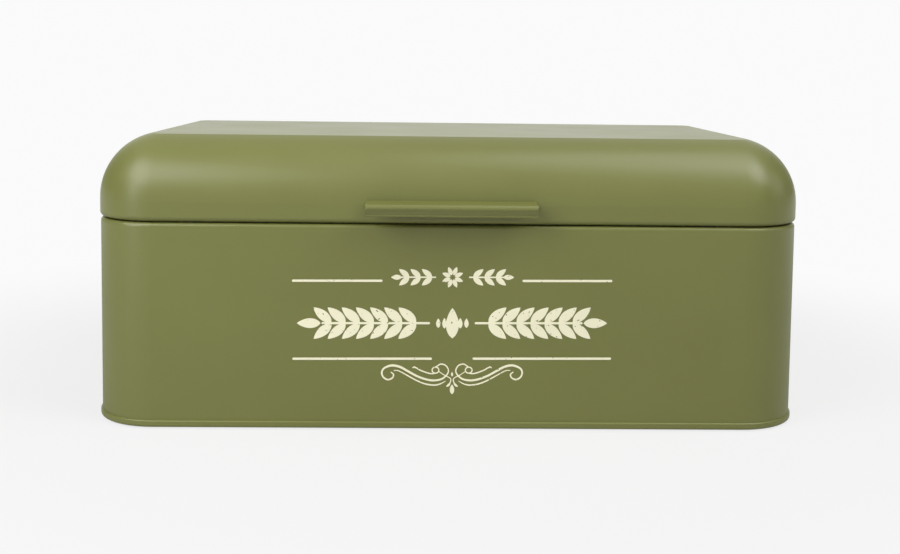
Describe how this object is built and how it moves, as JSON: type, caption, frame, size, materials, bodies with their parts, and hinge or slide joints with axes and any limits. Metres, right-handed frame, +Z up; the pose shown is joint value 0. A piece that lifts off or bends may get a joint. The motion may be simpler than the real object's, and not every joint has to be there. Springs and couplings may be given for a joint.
{
  "type": "bread box",
  "caption": "Pressed steel bread box with rounded corners and a rear-hinged domed lid, lifted by a lip handle at the front, for keeping loaves on a worktop.",
  "frame": {"origin": "on the surface the box stands on, under the middle of its bounding box, handle and hinges counted", "axes": "+X to the right along the front, +Y from the front to the hinges at the back, +Z up"},
  "size_m": [0.422, 0.2534, 0.1703],
  "materials": {
    "green_enamel": "satin",
    "hinge_steel": "satin",
    "cream_print": "satin",
    "rubber": "matte"
  },
  "bodies": {
    "body": {"body_wall": "green_enamel", "base_pan": "green_enamel", "rim_collar": "green_enamel", "foot_front_left": "rubber", "foot_front_right": "rubber", "foot_back_left": "rubber", "foot_back_right": "rubber", "lid_pads": "rubber", "hinge_body_leaf_left": "hinge_steel", "hinge_pin_left": "hinge_steel", "body_leaf_rivets_left": "hinge_steel", "hinge_body_leaf_right": "hinge_steel", "hinge_pin_right": "hinge_steel", "body_leaf_rivets_right": "hinge_steel"},
    "lid": {"lid_shell": "green_enamel", "handle": "green_enamel", "handle_rivets": "green_enamel", "hinge_lid_leaf_left": "hinge_steel", "lid_leaf_rivets_left": "hinge_steel", "hinge_lid_leaf_right": "hinge_steel", "lid_leaf_rivets_right": "hinge_steel"}
  },
  "joints": [
    {"name": "lid_hinge", "type": "hinge", "parent": "body", "child": "lid", "pos_m": [0, 0.12004, 0.1211], "axis": [-1, 0, 0], "range_deg": [0, 100]}
  ]
}
